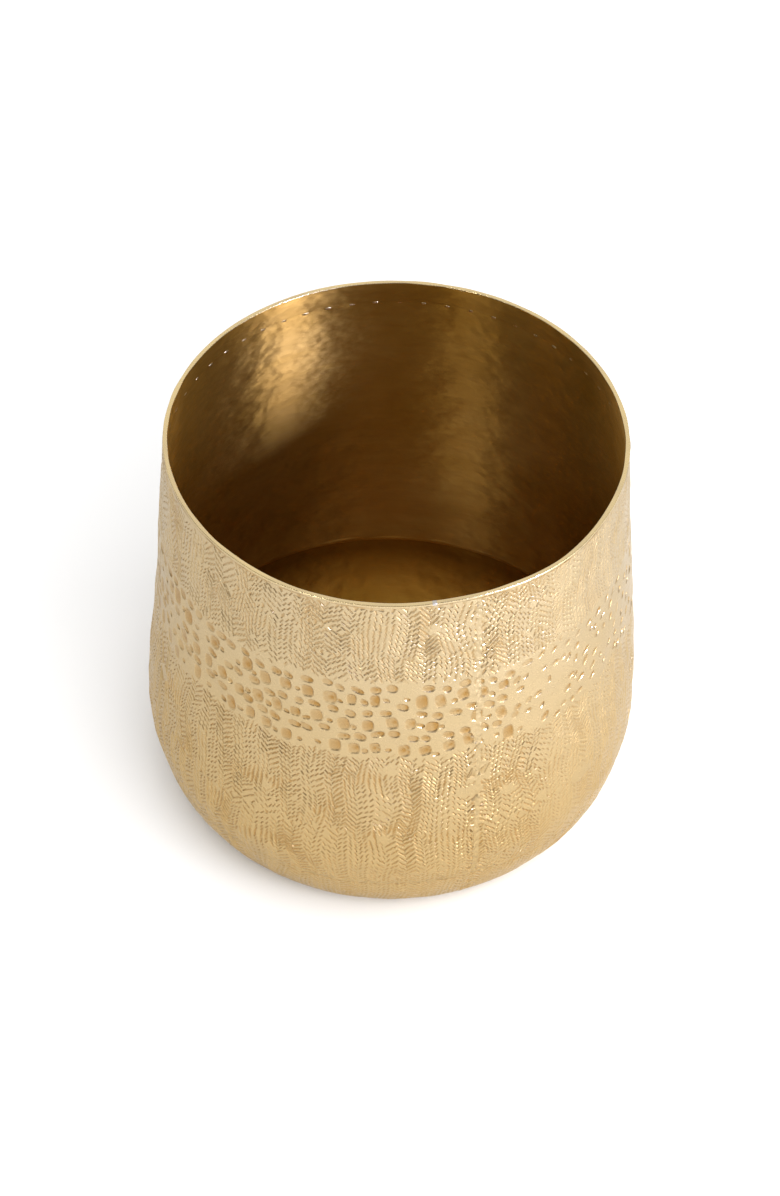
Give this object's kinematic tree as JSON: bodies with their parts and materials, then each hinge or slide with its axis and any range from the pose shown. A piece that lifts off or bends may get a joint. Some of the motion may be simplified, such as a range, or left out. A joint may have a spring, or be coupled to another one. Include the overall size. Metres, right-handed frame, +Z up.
{
  "type": "planter pot",
  "caption": "Round barrel-shaped metal planter with a low belly, a chased herringbone outside, a belt of pebble dents and a thin capped rim.",
  "frame": {"origin": "middle of the flat underside, on the surface that the pot stands on", "axes": "+Z up along the pot's axis, -Y the side seen from the front with the wall's seam at 21 degrees towards +X"},
  "size_m": [0.3, 0.3, 0.278],
  "materials": {
    "chased_brass": "chased outside, brushed and darkened inside",
    "seam_braze": "brazed, filed flush and chased over",
    "base_brass": "planished, with fine shallow chasing outside and hammer facets inside",
    "inner_braze": "brazed bead, turned smooth",
    "rim_brass": "filed and buffed edge, brushed skirt",
    "rim_joint_braze": "pale braze, filed flush",
    "rim_line_braze": "thin darker braze line",
    "tack_braze": "small bright tacks"
  },
  "bodies": {
    "root": {"body_wall": "chased_brass", "side_seam": "seam_braze", "base_dish": "base_brass", "base_seam": "inner_braze", "rim_band": "rim_brass", "rim_joint": "rim_joint_braze", "rim_braze": "rim_line_braze", "rim_tacks": "tack_braze"}
  },
  "joints": []
}
